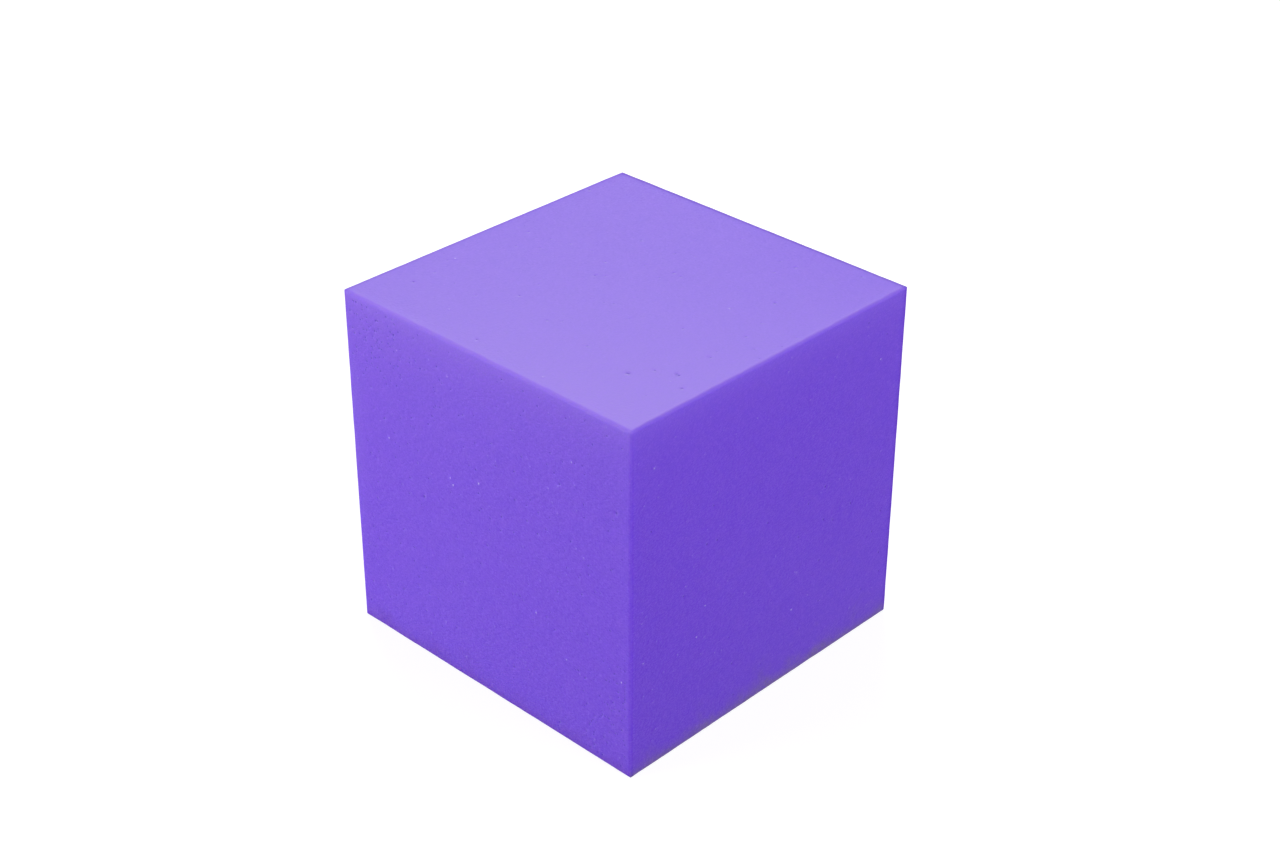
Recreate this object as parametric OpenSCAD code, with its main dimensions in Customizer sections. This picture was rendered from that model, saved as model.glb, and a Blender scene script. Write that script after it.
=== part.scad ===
// Foam block: a cube cut from soft, fine-celled foam, with its edges and corners
// eased where the cut foam relaxes.
// The origin is the centre of the underside, +Z is up and -Y is the front. Sizes are in mm.

/* [Block] */
// Width along X, left to right
block_w = 151.5; // [40:0.5:400]
// Depth along Y, front to back
block_d = 151; // [40:0.5:400]
// Height along Z, from the face it stands on
block_h = 150; // [40:0.5:400]

/* [Easing] */
// Radius of the twelve edges and the eight corners
edge_r = 0.5; // [0.25:0.25:12]

/* [Hidden] */
foam_colour = [0.50, 0.36, 0.86];
$fn = 48;

// Size of the core whose faces carry the rounding
core_w = block_w - 2 * edge_r;
core_d = block_d - 2 * edge_r;
core_h = block_h - 2 * edge_r;

sides = [-1, 1];

// Three crossing slabs, each at full size along one axis, which make the six flat faces
module slabs() {
    cube([block_w, core_d, core_h], center = true);
    cube([core_w, block_d, core_h], center = true);
    cube([core_w, core_d, block_h], center = true);
}

// Four parallel rods along Z at the corners of a span_x by span_y rectangle
module four_rods(span_x, span_y, length) {
    for (x = sides, y = sides)
        translate([x * span_x / 2, y * span_y / 2, 0])
            cylinder(r = edge_r, h = length, center = true);
}

// The twelve rounded edges
module edges() {
    four_rods(core_w, core_d, core_h);
    rotate([90, 0, 0]) four_rods(core_w, core_h, core_d);
    rotate([0, 90, 0]) four_rods(core_h, core_d, core_w);
}

// The eight rounded corners
module corners() {
    for (x = sides, y = sides, z = sides)
        translate([x * core_w, y * core_d, z * core_h] / 2)
            sphere(r = edge_r);
}

// The block is one piece of foam, standing on its underside
module foam_block() {
    color(foam_colour)
        translate([0, 0, block_h / 2])
            union() {
                slabs();
                edges();
                corners();
            }
}

foam_block();
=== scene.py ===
import math
import random
from collections import namedtuple

import bpy
import numpy as np
from mathutils import Matrix, Vector, noise
from mathutils.geometry import delaunay_2d_cdt

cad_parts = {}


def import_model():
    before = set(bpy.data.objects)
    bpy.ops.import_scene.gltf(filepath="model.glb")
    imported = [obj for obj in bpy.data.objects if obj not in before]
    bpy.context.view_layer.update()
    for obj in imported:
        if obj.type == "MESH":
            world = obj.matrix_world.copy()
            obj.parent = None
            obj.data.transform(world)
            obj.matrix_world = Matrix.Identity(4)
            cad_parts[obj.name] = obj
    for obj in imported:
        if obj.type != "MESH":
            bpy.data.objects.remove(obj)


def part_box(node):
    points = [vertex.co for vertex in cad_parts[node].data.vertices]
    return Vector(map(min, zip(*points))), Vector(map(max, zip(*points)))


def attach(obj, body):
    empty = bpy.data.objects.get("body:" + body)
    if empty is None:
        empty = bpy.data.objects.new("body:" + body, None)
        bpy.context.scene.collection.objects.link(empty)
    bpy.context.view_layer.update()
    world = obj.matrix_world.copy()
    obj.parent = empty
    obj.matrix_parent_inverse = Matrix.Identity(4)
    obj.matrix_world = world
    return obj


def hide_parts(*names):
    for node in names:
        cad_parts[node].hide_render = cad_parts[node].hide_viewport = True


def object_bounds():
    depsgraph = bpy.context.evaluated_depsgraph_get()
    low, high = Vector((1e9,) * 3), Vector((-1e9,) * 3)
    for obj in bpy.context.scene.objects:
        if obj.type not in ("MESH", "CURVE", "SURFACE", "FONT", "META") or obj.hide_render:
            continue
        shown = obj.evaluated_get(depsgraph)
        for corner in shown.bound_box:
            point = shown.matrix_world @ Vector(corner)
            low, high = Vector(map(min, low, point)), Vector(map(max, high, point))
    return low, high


# The looks of a block of soft, fine-celled purple foam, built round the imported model.
# Lengths are in metres. MM turns a size in millimetres into metres.
MM = 0.001
X, Y, Z = 0, 1, 2
TOLERANCE = 1e-9

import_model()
cad_low, cad_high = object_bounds()

block_low, block_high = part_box("foam_block")
CENTRE = np.array((block_low + block_high) / 2)
HALF = np.array((block_high - block_low) / 2)

# A side of the block is named by its axis, and by 1 for that axis's high end or -1 for its low one.
# The photo shows the top (Z, 1), the front (Y, -1), which is at its left, and the right side (X, 1).

# The cut form, and how closely the skin's points are set. Each of the two sides at an edge makes EDGE_TURN
# degrees of its turn.
EDGE_R = 0.5 * MM
EDGE_TURN = 45
EDGE_STEPS = 3
GRID_STEP = 1.5 * MM
UNDERSIDE_STEP = 2.4 * MM
GRID_JITTER = 0.22
JOIN_DECIMALS = 7

# A wave is smooth noise: how far its hills lie apart, and the number that sets it apart from other waves
Wave = namedtuple("Wave", "length seed")
WAVE_SHIFT = (17.3, 5.9, 11.1)

# How far the surface dips below the cut form: in broad sags and small clumps, and by wear and nicks at edges
SAG = Wave(38 * MM, 1)
SAG_DEPTH = 0.12 * MM
SAG_STARTS = 12 * MM
CLUMPS = Wave(5 * MM, 2)
CLUMP_DEPTH = 0.05 * MM
WEAR = Wave(9 * MM, 3)
WEAR_DEPTH = 0.07 * MM
WEAR_WIDTH = 1.0 * MM
WEAR_SHARE = 0.3
WEAR_VARIES = 0.9
NICKS = Wave(3 * MM, 4)
NICK_DEPTH = 0.05 * MM

# Light seeps through soft foam, so round the edges between the sides that the photo shows it turns over a
# wider strip than the form does. Elsewhere it turns with the form. The strip's width, inward from each edge,
# is given for the low and the high side of each axis.
STRIP = 1.3 * MM
STRIP_LOW = np.array([EDGE_R, STRIP, EDGE_R])
STRIP_HIGH = np.array([STRIP, EDGE_R, STRIP])
STRIP_WAVE = Wave(6 * MM, 5)
STRIP_VARIES = 0.3

# A thin dark line of painted shade along a side's far edge: the side, the side beyond the edge, and the
# line's strength. The stations are how far inward from an edge the skin has extra points to carry the line.
RIMS = (
    ((Z, 1), (Y, 1), 0.9),
    ((Z, 1), (X, -1), 0.5),
    ((X, 1), (Y, 1), 0.6),
)
RIM_WIDTH = 1.4 * MM
RIM_STATIONS = (0.5 * MM, 1.0 * MM)

# A mark is a pore below the surface or a crumb of cell wall that stands on it. Its place and its direction
# are in the two axes of its side: y and z on an X side, z and x on a Y side, x and y on a Z side. A negative
# depth makes a crumb. Its tone is how much painted shade darkens a pore against the foam round it, or, where
# the tone is negative, how much a painted glint makes a crumb paler.
Mark = namedtuple("Mark", "u v radius depth stretch tilt tone")
MARK_RINGS = (0.5, 0.85, 1.05)
MARK_POINTS = 8
MARK_LOBES = 3
MARK_UNEVEN = 0.09

# How far a mark reaches at most, and how far other marks and points keep from it, both in its radii. Then,
# in metres, the gap that points keep besides, and how far scattered marks keep from the edges.
MARK_FARTHEST = 1.5
MARK_CLEAR = 1.3
MARK_GAP = 0.3 * MM
MARK_MARGIN = 3 * MM

# The scattered marks, from the slightest to the strongest. Depths are shares of the mark's radius, and tilts
# are in radians. A share of the pores lies in clusters.
MARK_R = (0.26 * MM, 0.45 * MM)
MARK_STRETCH = (0, 0.25)
MARK_TILT = (0, 3.14)
PORE_DEPTH = (0.12, 0.32)
# The pores' tones are painted shade, and the crumbs' tones painted glints
PORE_TONE = (0.8, 1.4)
CRUMB_HEIGHT = 0.7
CRUMB_GLINT_TONE = (0.13, 0.34)
FEW_STRONG = 1.5
CLUSTERS = 4
CLUSTERED = 0.45
CLUSTER_SPREAD = 9 * MM

# The pinholes crowd near the top of the front's left end
CROWDED_CLUSTERS = 2
CROWDED = {(Y, -1): (58 * MM, -58 * MM)}

# How each side came off the knife: how coarse its grain is, and how many pores and crumbs lie over it
Cut = namedtuple("Cut", "grain pores crumbs")
CUTS = {
    (Z, 1): Cut(0.50, 50, 5),
    (Y, -1): Cut(1.10, 380, 80),
    (X, 1): Cut(1.20, 30, 130),
    (Y, 1): Cut(0.85, 150, 50),
    (X, -1): Cut(0.65, 130, 50),
    (Z, -1): Cut(1.00, 60, 20),
}


def pore(u, v, radius, depth, tone, stretch=0.1, tilt=0.0):
    """A pore that stands out by itself, in millimetres. Its tone is painted shade."""
    return Mark(u * MM, v * MM, radius * MM, depth * MM, stretch, tilt, tone)


def crumb(u, v, radius, height, tone, stretch=0.1, tilt=0.0):
    """A crumb that stands out by itself, in millimetres. Its tone is a painted glint."""
    return pore(u, v, radius, -height, -tone, stretch, tilt)


STANDOUTS = {
    (Z, 1): [
        pore(46.5, -47, 0.65, 0.30, 0.7, stretch=0.4, tilt=0.3),
        pore(-61.5, -53, 0.50, 0.20, 0.7),
        pore(60.5, -35.5, 0.50, 0.20, 0.6),
        pore(67.5, -41.5, 0.50, 0.20, 0.5, stretch=0.15, tilt=1.0),
        pore(48.5, 30, 0.50, 0.20, 0.6),
        pore(-24.5, -32.5, 0.45, 0.20, 0.5),
        crumb(-65, -28.5, 0.40, 0.10, 0.6),
        crumb(39.5, 14.5, 0.40, 0.10, 0.5),
    ],
    (Y, -1): [
        crumb(13, -17.5, 0.50, 0.20, 1.0),
        crumb(15.5, -19, 0.40, 0.15, 0.7),
        crumb(20, -3, 0.44, 0.20, 1.0),
        crumb(18.5, -54, 0.42, 0.20, 0.9),
        crumb(-24, 26.5, 0.42, 0.20, 0.8),
        crumb(-33, 71, 0.44, 0.20, 1.0),
        crumb(-37.5, 42.5, 0.42, 0.15, 0.5),
        crumb(37.5, 39.5, 0.42, 0.15, 0.4),
        crumb(50.5, 46.5, 0.42, 0.15, 0.7),
        pore(0, -35, 0.70, 0.40, 0.9),
        pore(65.5, -48, 0.66, 0.40, 0.75, stretch=0.2, tilt=0.8),
        pore(39, 68.5, 0.62, 0.35, 0.8),
    ],
    (X, 1): [
        crumb(14.5, -44, 0.48, 0.20, 1.0),
        crumb(-40.5, -28.5, 0.44, 0.20, 0.9),
        crumb(-69, -25.5, 0.44, 0.20, 0.65),
        crumb(-64, 55.5, 0.44, 0.20, 0.7),
        crumb(-36, -16.5, 0.42, 0.20, 0.8),
        crumb(61.5, 49, 0.42, 0.20, 0.9),
    ],
}

random.seed(11)


def between(limits, share):
    """The value that lies at the given share of the way from the first limit to the second."""
    return limits[0] + (limits[1] - limits[0]) * share


def unit(vectors):
    return vectors / np.linalg.norm(vectors, axis=1)[:, None]


def wave(points, kind):
    """Smooth noise from about -1 to 1 at each point."""
    offset = Vector([kind.seed * shift for shift in WAVE_SHIFT])
    return np.array([noise.noise(Vector(p) / kind.length + offset) for p in points])


def swell(points, kind):
    """Smooth noise from about 0 to 1 at each point."""
    return 0.5 + 0.5 * wave(points, kind)


def lies_on(box_points, side):
    """Which points of the sharp box lie on one of its sides."""
    axis, sign = side
    return np.abs(box_points[:, axis] - sign * HALF[axis]) < TOLERANCE


def edge_distance(box_points):
    """Distance of each point of the sharp box from the nearest of its twelve edges."""
    return np.sort(HALF - np.abs(box_points), axis=1)[:, 1]


def stations(half, step):
    """Places along an axis from edge to edge of the box: close over the rounded edges, even between."""
    flat = half - EDGE_R
    turns = [math.radians(EDGE_TURN * i / EDGE_STEPS) for i in range(1, EDGE_STEPS + 1)]
    bend = [flat + EDGE_R * math.tan(turn) for turn in turns]
    count = round(2 * flat / step)
    middle = [flat * (2 * i / count - 1) for i in range(count + 1)]
    close = [flat - inward for inward in RIM_STATIONS]
    return np.array(sorted([-place for place in bend + close] + middle + close + bend))


def mark_outline(mark, angle):
    """The radius of a mark's uneven outline in one direction."""
    longer = mark.stretch * math.cos(2 * (angle - mark.tilt))
    uneven = MARK_UNEVEN * math.sin(MARK_LOBES * angle)
    return mark.radius * (1 + longer + uneven)


def mark_points(mark):
    """The centre of a mark and the points of the rings round it, in its side's own two directions."""
    points = [(mark.u, mark.v)]
    for number, ring in enumerate(MARK_RINGS):
        for i in range(MARK_POINTS):
            angle = 2 * math.pi * (i + 0.5 * (number % 2)) / MARK_POINTS
            reach = ring * mark_outline(mark, angle)
            points.append((mark.u + reach * math.cos(angle), mark.v + reach * math.sin(angle)))
    return points


def scattered_mark(is_pore, grain, centres, room_u, room_v):
    """A pore or a crumb somewhere on a side. Some of the pores lie in clusters round the given centres."""
    u, v = random.uniform(-room_u, room_u), random.uniform(-room_v, room_v)
    if random.random() < CLUSTERED and is_pore:
        centre_u, centre_v = random.choice(centres)
        u = max(-room_u, min(room_u, random.gauss(centre_u, CLUSTER_SPREAD)))
        v = max(-room_v, min(room_v, random.gauss(centre_v, CLUSTER_SPREAD)))
    radius = random.uniform(*MARK_R)
    strength = random.random() ** FEW_STRONG
    depth = radius * between(PORE_DEPTH, strength)
    tone = grain * between(PORE_TONE, strength)
    if not is_pore:
        depth *= -CRUMB_HEIGHT
        tone = -between(CRUMB_GLINT_TONE, strength)
    return Mark(u, v, radius, depth, random.uniform(*MARK_STRETCH), random.uniform(*MARK_TILT), tone)


def side_marks(side):
    """The marks of one side: those that stand out, then scattered ones wherever there is room for them."""
    axis = side[0]
    room_u, room_v = HALF[(axis + 1) % 3] - MARK_MARGIN, HALF[(axis + 2) % 3] - MARK_MARGIN
    centres = [(random.uniform(-room_u, room_u), random.uniform(-room_v, room_v)) for _ in range(CLUSTERS)]
    if side in CROWDED:
        centres[:CROWDED_CLUSTERS] = [CROWDED[side]] * CROWDED_CLUSTERS
    marks = list(STANDOUTS.get(side, []))
    cut = CUTS[side]
    for number in range(cut.pores + cut.crumbs):
        mark = scattered_mark(number < cut.pores, cut.grain, centres, room_u, room_v)
        clear = MARK_CLEAR * (mark.radius + MARK_R[1])
        if all(math.hypot(mark.u - other.u, mark.v - other.v) > clear for other in marks):
            marks.append(mark)
    return marks


def side_grid(side, marks):
    """The plain points of one side, inside its edges and away from its marks, moved a little out of line."""
    u_axis, v_axis = (side[0] + 1) % 3, (side[0] + 2) % 3
    step = UNDERSIDE_STEP if side == (Z, -1) else GRID_STEP
    inner_u, inner_v = stations(HALF[u_axis], step)[1:-1], stations(HALF[v_axis], step)[1:-1]
    grid = np.array([(u, v) for u in inner_u for v in inner_v])
    flat = np.array([HALF[u_axis] - EDGE_R, HALF[v_axis] - EDGE_R]) - RIM_STATIONS[-1] - step / 2
    loose = (np.abs(grid) < flat).all(1)
    shift = np.array([(random.uniform(-1, 1), random.uniform(-1, 1)) for _ in grid])
    grid += shift * (loose * GRID_JITTER * step)[:, None]
    keep = np.ones(len(grid), bool)
    for mark in marks:
        clear = MARK_CLEAR * mark.radius + MARK_GAP
        keep &= np.hypot(grid[:, 0] - mark.u, grid[:, 1] - mark.v) > clear
    return grid[keep]


def side_mesh(side, marks):
    """One side of the box as (points on the sharp box, triangles), with finer points round each mark."""
    axis, sign = side
    u_axis, v_axis = (axis + 1) % 3, (axis + 2) % 3
    points = [tuple(place) for place in side_grid(side, marks)]
    for mark in marks:
        points += mark_points(mark)
    edge_u, edge_v = stations(HALF[u_axis], GRID_STEP), stations(HALF[v_axis], GRID_STEP)
    for end in (-1, 1):
        points += [(u, end * HALF[v_axis]) for u in edge_u]
        points += [(end * HALF[u_axis], v) for v in edge_v[1:-1]]
    flat_points, _, triangles, *_ = delaunay_2d_cdt([Vector(p) for p in points], [], [], 0, TOLERANCE)
    placed = np.zeros((len(flat_points), 3))
    placed[:, u_axis] = [p.x for p in flat_points]
    placed[:, v_axis] = [p.y for p in flat_points]
    placed[:, axis] = sign * HALF[axis]
    order = np.array(triangles)
    return placed, order if sign > 0 else order[:, ::-1]


def joined_sides():
    """Each side's marks, and the points and triangles of the six sides joined into one closed sharp box."""
    marks, all_points, all_triangles, count = {}, [], [], 0
    for side in CUTS:
        marks[side] = side_marks(side)
        points, triangles = side_mesh(side, marks[side])
        all_points.append(points)
        all_triangles.append(triangles + count)
        count += len(points)
    stacked = np.concatenate(all_points)
    rounded_off = np.round(stacked, JOIN_DECIMALS)
    _, first, joined = np.unique(rounded_off, axis=0, return_index=True, return_inverse=True)
    return marks, stacked[first], joined.ravel()[np.concatenate(all_triangles)]


def rounded(box_points):
    """Points of the sharp box moved onto the rounded one, with the way each faces."""
    core = np.clip(box_points, EDGE_R - HALF, HALF - EDGE_R)
    way = unit(box_points - core)
    return core + EDGE_R * way, way


def soft_facing(box_points):
    """The way each point of the sharp box takes the light, which turns over the wider strips."""
    width = 1 + STRIP_VARIES * wave(box_points, STRIP_WAVE)[:, None]
    core = np.clip(box_points, STRIP_LOW * width - HALF, HALF - STRIP_HIGH * width)
    return unit(box_points - core)


def plain_depth(place, from_edge):
    """How far each point dips below the cut form, apart from the marks."""
    depth = SAG_DEPTH * swell(place, SAG) * np.clip(from_edge / SAG_STARTS, 0, 1)
    depth += CLUMP_DEPTH * swell(place, CLUMPS)
    at_edge = np.exp(-(from_edge / WEAR_WIDTH) ** 2)
    depth += at_edge * WEAR_DEPTH * np.clip(WEAR_SHARE + WEAR_VARIES * wave(place, WEAR), 0, 1)
    depth += at_edge * NICK_DEPTH * np.clip(wave(place, NICKS), 0, 1)
    return depth


def mark_effect(box_points, marks, side):
    """For each point, how deep its side's marks take it, and how much the pores' painted shade darkens it
    and the crumbs' painted glints pale it.
    """
    axis = side[0]
    deeper = np.zeros(len(box_points))
    tone = np.zeros(len(box_points))
    on_side = np.flatnonzero(lies_on(box_points, side))
    across, along = box_points[on_side, (axis + 1) % 3], box_points[on_side, (axis + 2) % 3]
    for mark in marks:
        du, dv = across - mark.u, along - mark.v
        for i in np.flatnonzero(np.hypot(du, dv) < MARK_FARTHEST * mark.radius):
            ratio = math.hypot(du[i], dv[i]) / mark_outline(mark, math.atan2(dv[i], du[i]))
            share = math.sqrt(max(0.0, 1 - ratio ** 2))
            deeper[on_side[i]] += mark.depth * share
            tone[on_side[i]] += mark.tone * share
    return deeper, tone


def edge_share(way):
    """1 where the light has turned half way round an edge, 0 on the flat sides."""
    straight, half_way = 1, math.sqrt(0.5)
    return np.clip((straight - np.abs(way).max(axis=1)) / (straight - half_way), 0, 1)


def rim_share(box_points):
    """How strongly each point of the sharp box lies in one of the thin dark lines of painted shade."""
    share = np.zeros(len(box_points))
    for side, (far_axis, far_sign), strength in RIMS:
        inward = HALF[far_axis] - far_sign * box_points[:, far_axis]
        line = strength * np.exp(-(inward / RIM_WIDTH) ** 2)
        share = np.maximum(share, lies_on(box_points, side) * line)
    return share


def turn_facing(mesh, change):
    """Turns the way that each point of a mesh takes the light by the given change of its normal."""
    normals = np.zeros(3 * len(mesh.vertices), np.float32)
    mesh.vertex_normals.foreach_get("vector", normals)
    mesh.normals_split_custom_set_from_vertices(unit(normals.reshape(-1, 3) + change))
    mesh.update()


def foam_mesh():
    """The whole block as one closed mesh. It never stands outside the cut form."""
    marks, box_points, triangles = joined_sides()
    place, way = rounded(box_points)
    lit_way = soft_facing(box_points)
    depth = plain_depth(place, edge_distance(box_points))
    tone = np.zeros(len(place))
    grain = np.zeros(len(place))
    for side, cut in CUTS.items():
        axis, sign = side
        deeper, darker = mark_effect(box_points, marks[side], side)
        depth += deeper
        tone += darker
        grain += cut.grain * np.clip(sign * way[:, axis], 0, 1) ** 2
    place = np.clip(place - way * depth[:, None], -HALF, HALF) + CENTRE
    mesh = bpy.data.meshes.new("foam_block_skin")
    mesh.from_pydata(place.tolist(), [], triangles.tolist())
    mesh.polygons.foreach_set("use_smooth", [True] * len(mesh.polygons))
    looks = {
        # The pores' painted shade, the crumbs' painted glints and the lines of painted shade along the far
        # edges
        "pore_shade": np.clip(tone, 0, 1),
        "crumb": np.clip(-tone, 0, 1),
        "grain": grain,
        "edge": edge_share(lit_way),
        "rim": rim_share(box_points),
    }
    for name, values in looks.items():
        layer = mesh.attributes.new(name, "FLOAT", "POINT")
        layer.data.foreach_set("value", values.astype(np.float32))
    mesh.validate()
    turn_facing(mesh, lit_way - way)
    return mesh


class Nodes:
    """Adds nodes to a tree. An input is given as a number, a colour or another node's output."""

    def __init__(self, tree):
        self.tree = tree
        tree.nodes.clear()

    def add(self, kind, inputs=None, **settings):
        node = self.tree.nodes.new(kind)
        for name, value in settings.items():
            setattr(node, name, value)
        for socket, value in (inputs or {}).items():
            if isinstance(value, bpy.types.NodeSocket):
                self.tree.links.new(value, node.inputs[socket])
            else:
                node.inputs[socket].default_value = value
        return node

    def math(self, operation, a, b=0.0, c=0.0):
        return self.add("ShaderNodeMath", {0: a, 1: b, 2: c}, operation=operation).outputs[0]

    def times(self, a, b):
        return self.math("MULTIPLY", a, b)

    def centred(self, value):
        """A value from 0 to 1 as one from -0.5 to 0.5."""
        return self.math("SUBTRACT", value, 0.5)

    def between(self, share, low, high):
        """From low where the share is 0 to high where it is 1."""
        return self.math("MULTIPLY_ADD", share, high - low, low)

    def along(self, place, half):
        """From 0 to 1 along an axis. A negative half size turns it round."""
        return self.math("MULTIPLY_ADD", place, 0.5 / half, 0.5)

    def falling(self, distance, length):
        """1 at no distance, a half at the given length, and less and less beyond."""
        return self.math("DIVIDE", 1.0, self.math("ADD", self.math("DIVIDE", distance, length), 1.0))

    def mix(self, share, a, b):
        """The number a where the share is 0, b where it is 1."""
        return self.add("ShaderNodeMix", {0: share, 2: a, 3: b}).outputs[0]

    def blend(self, share, a, b):
        """The colour a where the share is 0, b where it is 1. A share below 0 goes as far the other way."""
        inputs = {0: share, 6: a, 7: b}
        return self.add("ShaderNodeMix", inputs, data_type="RGBA", clamp_factor=False).outputs[2]

    def attribute(self, name):
        return self.add("ShaderNodeAttribute", attribute_name=name).outputs["Fac"]


# The dye as it is on most of the block, then darker copies of it that are painted shade: on the right side
# and at the top's far left corner
FOAM = (0.177, 0.042, 0.786, 1)
FOAM_RIGHT_SHADE = (0.168, 0.034, 0.814, 1)
FOAM_FAR_SHADE = (0.155, 0.020, 0.728, 1)

# The dye lightened by painted light on the top and just below its edges, on most sides and on the right
# side. Then painted shade at the foot: darker on most sides, and greyer on the right side.
FOAM_PAINTED_LIGHT = (0.267, 0.123, 0.822, 1)
FOAM_RIGHT_PAINTED_LIGHT = (0.267, 0.123, 0.900, 1)
FOAM_SHADED = (0.130, 0.010, 0.560, 1)
FOAM_RIGHT_FOOT_SHADE = (0.180, 0.115, 0.340, 1)

# The palest cells, then the painted shade inside the pores, the painted glints of the crumbs, the painted
# sheen along the rounded edges and the painted shade of the thin dark lines
FOAM_PALE = (0.288, 0.104, 0.920, 1)
FOAM_PORE_SHADE = (0.045, 0.002, 0.540, 1)
CRUMB_GLINT = (0.780, 0.700, 1.000, 1)
FOAM_EDGE_SHEEN = (0.240, 0.220, 0.550, 1)
FOAM_RIM_SHADE = (0.080, 0.010, 0.530, 1)
CRUMB_GLINT_SHOWS = 0.54
PORE_SHADE_SHOWS = 0.9
EDGE_SHEEN_SHOWS = 0.15

# The painted light round the top's edges, which lightens the top and the sides just below it: how far it
# reaches down, on the right and on the left, how far it reaches inward, and how much of it the right side
# has. With a spread of 1 the left's reach would lessen from the left edge on. With more it holds for a while
# first.
PAINTED_LIGHT_DOWN = 6 * MM
PAINTED_LIGHT_DOWN_LEFT = 12.5 * MM
PAINTED_LIGHT_LEFT_SPREAD = 1.5
PAINTED_LIGHT_INWARD = 1.2 * MM
PAINTED_LIGHT_RIGHT = 0.7

# The painted light along the left upright edge, which lessens below the given height
PAINTED_LIGHT_UPRIGHT = 0.6
PAINTED_LIGHT_UPRIGHT_HEIGHT = 100 * MM

# The painted light over the top, at three of its corners. The fourth, far left, has none.
TOP_PAINTED_LIGHT_FRONT_LEFT = 0.415
TOP_PAINTED_LIGHT_FRONT_RIGHT = 0.98
TOP_PAINTED_LIGHT_FAR_RIGHT = 0.25
TOP_PAINTED_LIGHT_CURVE = 3.0

# The painted shade at the foot of the sides, in patches. Its reach is -1 where it fades over its plain
# height, and nearer to 0 where it goes further up, to the given reach at most.
FOOT_SHADE_HEIGHT = 2.8 * MM
FOOT_SHADE_PATCHES = 2.4
FOOT_SHADE_REACH = -0.45
FOOT_SHADE_SPECKLE = 0.8

# The grain: the sizes of its cells, clumps and mottling, how much each changes the colour, and its relief
CELL = 0.95 * MM
CELL_SHAPE = (1.0, 1.0, 1.75)
CELL_REACH = 0.7
CELL_SHOWS = 1.75
CLUMP = 1.6 * MM
CLUMP_SHOWS = 0.15
MOTTLE = 9 * MM
MOTTLE_SHOWS = 0.1
DARKEST = -0.45
CELL_RISE = -0.6
RELIEF = 0.25 * MM
RELIEF_STRENGTH = 0.45

# The skin's gloss, and how far light seeps through the foam, with the shares of that for red, green and blue
ROUGHNESS = 0.55
ROUGHER_EDGE = 0.2
ROUGHER_RIM = 0.45
GLOSS = 0.48
SHEEN = 0.096
SHEEN_ROUGHNESS = 0.5
SEEP = 2.0 * MM
SEEP_SHARES = (1.0, 0.8, 1.2)


def top_painted_light(n, rightward, forward):
    """How much painted light the top has, from its far left corner, where it has none, to its front right
    one.
    """
    front = n.between(rightward, TOP_PAINTED_LIGHT_FRONT_LEFT, TOP_PAINTED_LIGHT_FRONT_RIGHT)
    far = n.times(n.math("POWER", rightward, TOP_PAINTED_LIGHT_CURVE), TOP_PAINTED_LIGHT_FAR_RIGHT)
    return n.mix(forward, far, front)


def edge_painted_light(n, x, y, z, rightward, forward):
    """How much painted light the top and its edges have, and the sides below them."""
    from_x = n.math("SUBTRACT", HALF[X] - EDGE_R, n.math("ABSOLUTE", x))
    from_y = n.math("SUBTRACT", HALF[Y] - EDGE_R, n.math("ABSOLUTE", y))
    inward = n.math("MAXIMUM", n.math("MINIMUM", from_x, from_y), 0.0)
    at_edge = n.math("EXPONENT", n.times(inward, -1 / PAINTED_LIGHT_INWARD))
    down = n.math("MAXIMUM", n.math("SUBTRACT", cad_high[Z], z), 0.0)
    leftward = n.math("MINIMUM", n.between(rightward, PAINTED_LIGHT_LEFT_SPREAD, 0.0), 1.0)
    length = n.between(leftward, PAINTED_LIGHT_DOWN, PAINTED_LIGHT_DOWN_LEFT)
    return n.times(n.falling(down, length), n.mix(at_edge, top_painted_light(n, rightward, forward), 1.0))


def upright_painted_light(n, x, y, z):
    """How much painted light the left upright edge has, and the sides near it."""
    away = n.math("ADD", n.math("ADD", x, HALF[X]), n.math("ADD", y, HALF[Y]))
    height_share = n.math("MINIMUM", n.times(z, 1 / PAINTED_LIGHT_UPRIGHT_HEIGHT), 1.0)
    return n.times(n.times(n.falling(away, PAINTED_LIGHT_DOWN), PAINTED_LIGHT_UPRIGHT), height_share)


def foot_shade(n, z, mottle, pick):
    """How much painted shade the foot has. It reaches up in patches, and differs from cell to cell."""
    patch = n.between(mottle, -1 - 0.5 * FOOT_SHADE_PATCHES, -1 + 0.5 * FOOT_SHADE_PATCHES)
    reach = n.math("MINIMUM", patch, FOOT_SHADE_REACH)
    speckle = n.between(pick, 1 - 0.5 * FOOT_SHADE_SPECKLE, 1 + 0.5 * FOOT_SHADE_SPECKLE)
    return n.times(n.math("EXPONENT", n.times(n.times(z, 1 / FOOT_SHADE_HEIGHT), reach)), speckle)


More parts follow.
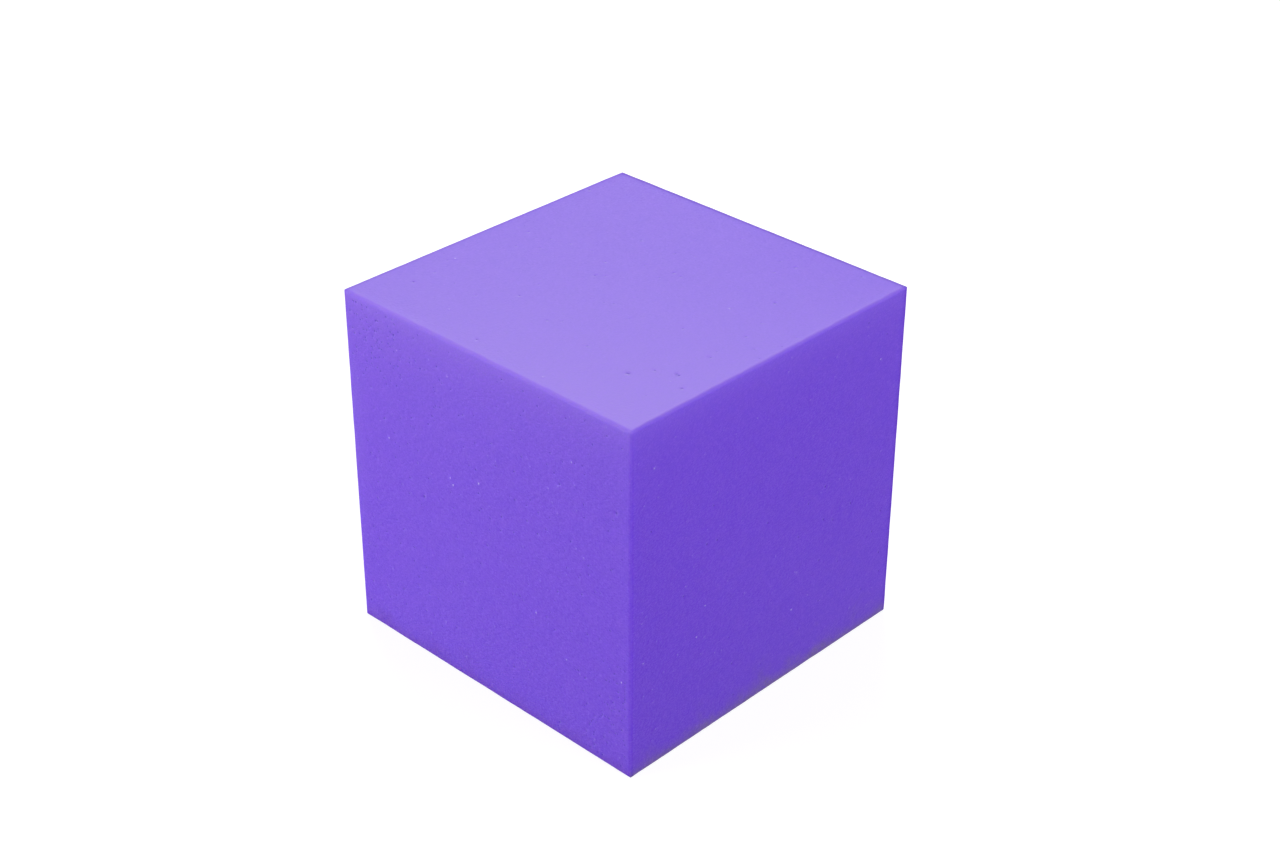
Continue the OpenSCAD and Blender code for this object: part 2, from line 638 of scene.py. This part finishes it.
def dye_with_painted_light_and_shade(n, where, mottle, pick):
    """The dye with painted light on the top, below its edges and along the left upright edge, and painted
    shade on the right side, at the top's far left corner and at the foot.
    """
    x, y, z = n.add("ShaderNodeSeparateXYZ", {0: where}).outputs
    rightward, forward = n.along(x, HALF[X]), n.along(y, -HALF[Y])
    on_right = n.math("GREATER_THAN", x, HALF[X] - EDGE_R)
    on_top = n.math("GREATER_THAN", z, cad_high[Z] - EDGE_R)
    # Painted light on the top, just below its edges and along the left upright edge
    painted_light = n.times(edge_painted_light(n, x, y, z, rightward, forward), n.between(on_right, 1.0, PAINTED_LIGHT_RIGHT))
    painted_light = n.math("MAXIMUM", painted_light, upright_painted_light(n, x, y, z))
    # Painted shade: the right side takes a darker copy of the dye
    dye_with_right_shade = n.blend(on_right, FOAM, FOAM_RIGHT_SHADE)
    pale = n.blend(on_right, FOAM_PAINTED_LIGHT, FOAM_RIGHT_PAINTED_LIGHT)
    # Painted shade at the top's far left corner
    far_left = n.times(n.math("SUBTRACT", 1.0, rightward), n.math("SUBTRACT", 1.0, forward))
    dye_with_painted_light = n.blend(n.times(on_top, far_left), n.blend(painted_light, dye_with_right_shade, pale), FOAM_FAR_SHADE)
    # Painted shade at the foot, greyer on the right side
    foot = n.blend(on_right, FOAM_SHADED, FOAM_RIGHT_FOOT_SHADE)
    return n.blend(foot_shade(n, z, mottle, pick), dye_with_painted_light, foot)


def foam_material():
    material = bpy.data.materials.new("purple_foam")
    material.use_nodes = True
    n = Nodes(material.node_tree)
    where = n.add("ShaderNodeTexCoord").outputs["Object"]
    flattened = n.add("ShaderNodeVectorMath", {0: where, 1: CELL_SHAPE}, operation="MULTIPLY").outputs[0]
    cells = n.add("ShaderNodeTexVoronoi", {"Vector": flattened, "Scale": 1 / CELL}, feature="F1").outputs
    clumps = n.add("ShaderNodeTexNoise", {"Vector": flattened, "Scale": 1 / CLUMP, "Detail": 1.0}).outputs[0]
    mottle = n.add("ShaderNodeTexNoise", {"Vector": where, "Scale": 1 / MOTTLE, "Detail": 2.0}).outputs[0]
    grain, edge, rim = n.attribute("grain"), n.attribute("edge"), n.attribute("rim")

    # Each cell is a little paler or darker than the next, most of all at its middle
    pick = n.add("ShaderNodeSeparateColor", {0: cells["Color"]}).outputs[0]
    flecks = n.times(n.centred(pick), n.math("SUBTRACT", CELL_REACH, cells["Distance"]))
    fine = n.math("ADD", n.times(flecks, CELL_SHOWS), n.times(n.centred(clumps), CLUMP_SHOWS))
    broad = n.times(n.centred(mottle), MOTTLE_SHOWS)
    shade = n.math("MAXIMUM", n.math("ADD", n.times(fine, grain), broad), DARKEST)

    colour = n.blend(shade, dye_with_painted_light_and_shade(n, where, mottle, pick), FOAM_PALE)
    # Painted sheen along the rounded edges
    colour = n.blend(n.times(edge, EDGE_SHEEN_SHOWS), colour, FOAM_EDGE_SHEEN)
    # Painted shade in thin dark lines along the far edges
    colour = n.blend(rim, colour, FOAM_RIM_SHADE)
    # Painted shade inside the pores
    colour = n.blend(n.times(n.attribute("pore_shade"), PORE_SHADE_SHOWS), colour, FOAM_PORE_SHADE)
    # Painted glints on the crumbs
    colour = n.blend(n.times(n.attribute("crumb"), CRUMB_GLINT_SHOWS), colour, CRUMB_GLINT)

    height = n.times(n.math("ADD", n.times(cells["Distance"], CELL_RISE), clumps), grain)
    relief = n.add("ShaderNodeBump", {"Height": height, "Distance": RELIEF, "Strength": RELIEF_STRENGTH})
    rougher = n.math("MAXIMUM", n.times(edge, ROUGHER_EDGE), n.times(rim, ROUGHER_RIM))
    skin = n.add("ShaderNodeBsdfPrincipled", {
        "Base Color": colour,
        "Roughness": n.math("ADD", rougher, ROUGHNESS),
        "Specular IOR Level": GLOSS,
        "Sheen Weight": SHEEN,
        "Sheen Roughness": SHEEN_ROUGHNESS,
        "Subsurface Weight": 1.0,
        "Subsurface Radius": SEEP_SHARES,
        "Subsurface Scale": SEEP,
        "Normal": relief.outputs[0],
    })
    n.add("ShaderNodeOutputMaterial", {"Surface": skin.outputs[0]})
    return material


def foam_block():
    block = bpy.data.objects.new("foam_block_skin", foam_mesh())
    bpy.context.scene.collection.objects.link(block)
    block.data.materials.append(foam_material())
    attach(block, "root")
    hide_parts("foam_block")


# The camera, fitted to the block's seven corners in the photograph. Its angles are in degrees, and its lens
# and sensor in millimetres.
CAMERA_PLACE = Vector((525.9, -541.5, 536.2)) * MM
CAMERA_AZIMUTH = 43.75
CAMERA_ELEVATION = 30.65
CAMERA_ROLL = 0.26
CAMERA_LENS = 62.8
CAMERA_SENSOR = 36
CAMERA_NEAREST = 0.01
CAMERA_FARTHEST = 50


def camera():
    azimuth = math.radians(CAMERA_AZIMUTH)
    elevation = math.radians(CAMERA_ELEVATION)
    roll = math.radians(CAMERA_ROLL)
    right = Vector((math.cos(azimuth), math.sin(azimuth), 0))
    level_back = Vector((math.sin(azimuth), -math.cos(azimuth), 0))
    back = level_back * math.cos(elevation) + Vector((0, 0, math.sin(elevation)))
    up = back.cross(right)
    rolled_right = right * math.cos(roll) + up * math.sin(roll)
    rolled_up = up * math.cos(roll) - right * math.sin(roll)
    data = bpy.data.cameras.new("camera")
    data.sensor_width = CAMERA_SENSOR
    data.lens = CAMERA_LENS
    data.clip_start = CAMERA_NEAREST
    data.clip_end = CAMERA_FARTHEST
    seen = bpy.data.objects.new("camera", data)
    turn = Matrix((rolled_right, rolled_up, back)).transposed()
    seen.matrix_world = Matrix.Translation(CAMERA_PLACE) @ turn.to_4x4()
    bpy.context.scene.collection.objects.link(seen)
    bpy.context.scene.camera = seen


# The floor shows as nearly white, with the block's faint shadow, but throws less light back than it shows.
# The world too is dimmer as a light than as a background.
WHITE = (1, 1, 1, 1)
FLOOR_HALF = 5
FLOOR_BOUNCE = 0.40
FLOOR_SHOWN = 0.30
FLOOR_GLOW = 0.86
WORLD_LIGHT = 0.30
WORLD_SHOWN = 1.0

# The lamps: where each is, how wide and high, and how bright. 1 is as bright as a white card in full light.
Lamp = namedtuple("Lamp", "name place width height brightness")
LAMP_AIM = Vector((0, 0, 0.08))
LAMPS = (
    Lamp("key", (-0.80, -1.61, 0.27), 0.6, 0.5, 20.7),
    Lamp("fill", (1.21, -0.05, 0.53), 0.6, 0.5, 7.75),
    Lamp("back_top", (-0.74, 0.60, 1.45), 0.7, 0.7, 8.0),
    Lamp("back_low", (-0.80, 0.80, 0.60), 0.6, 0.5, 2.3),
)


def grey(level):
    return (level, level, level, 1)


def background_ray(n):
    """1 for rays that show the background as it is: from the camera, from gloss and through glass."""
    path = n.add("ShaderNodeLightPath").outputs
    mirrored = n.math("MAXIMUM", path["Is Glossy Ray"], path["Is Transmission Ray"])
    return n.math("MAXIMUM", path["Is Camera Ray"], mirrored)


def floor():
    mesh = bpy.data.meshes.new("floor")
    corners = [(x * FLOOR_HALF, y * FLOOR_HALF, 0) for x, y in ((-1, -1), (1, -1), (1, 1), (-1, 1))]
    mesh.from_pydata(corners, [], [(0, 1, 2, 3)])
    ground = bpy.data.objects.new("floor", mesh)
    bpy.context.scene.collection.objects.link(ground)
    material = bpy.data.materials.new("pale_floor")
    material.use_nodes = True
    n = Nodes(material.node_tree)
    bounce = n.add("ShaderNodeBsdfDiffuse", {"Color": grey(FLOOR_BOUNCE)}).outputs[0]
    lit = n.add("ShaderNodeBsdfDiffuse", {"Color": grey(FLOOR_SHOWN)}).outputs[0]
    glow = n.add("ShaderNodeEmission", {"Color": WHITE, "Strength": FLOOR_GLOW}).outputs[0]
    shown = n.add("ShaderNodeAddShader", {0: lit, 1: glow}).outputs[0]
    surface = n.add("ShaderNodeMixShader", {0: background_ray(n), 1: bounce, 2: shown}).outputs[0]
    n.add("ShaderNodeOutputMaterial", {"Surface": surface})
    ground.data.materials.append(material)


def world():
    made = bpy.data.worlds.new("studio")
    made.use_nodes = True
    n = Nodes(made.node_tree)
    levels = {0: background_ray(n), 1: 0.0, 2: 1.0, 3: WORLD_LIGHT, 4: WORLD_SHOWN}
    strength = n.add("ShaderNodeMapRange", levels).outputs[0]
    sky = n.add("ShaderNodeBackground", {"Color": WHITE, "Strength": strength}).outputs[0]
    n.add("ShaderNodeOutputWorld", {"Surface": sky})
    bpy.context.scene.world = made


def softbox(lamp):
    """A large soft lamp, which the camera doesn't see."""
    data = bpy.data.lights.new(lamp.name, "AREA")
    data.shape = "RECTANGLE"
    data.size = lamp.width
    data.size_y = lamp.height
    data.energy = lamp.brightness * math.pi * lamp.width * lamp.height
    box = bpy.data.objects.new(lamp.name, data)
    box.location = lamp.place
    box.rotation_mode = "QUATERNION"
    box.rotation_quaternion = (LAMP_AIM - Vector(lamp.place)).to_track_quat("-Z", "Y")
    box.visible_camera = False
    bpy.context.scene.collection.objects.link(box)


foam_block()
camera()
floor()
world()
for lamp in LAMPS:
    softbox(lamp)
bpy.context.scene.view_settings.view_transform = "Standard"
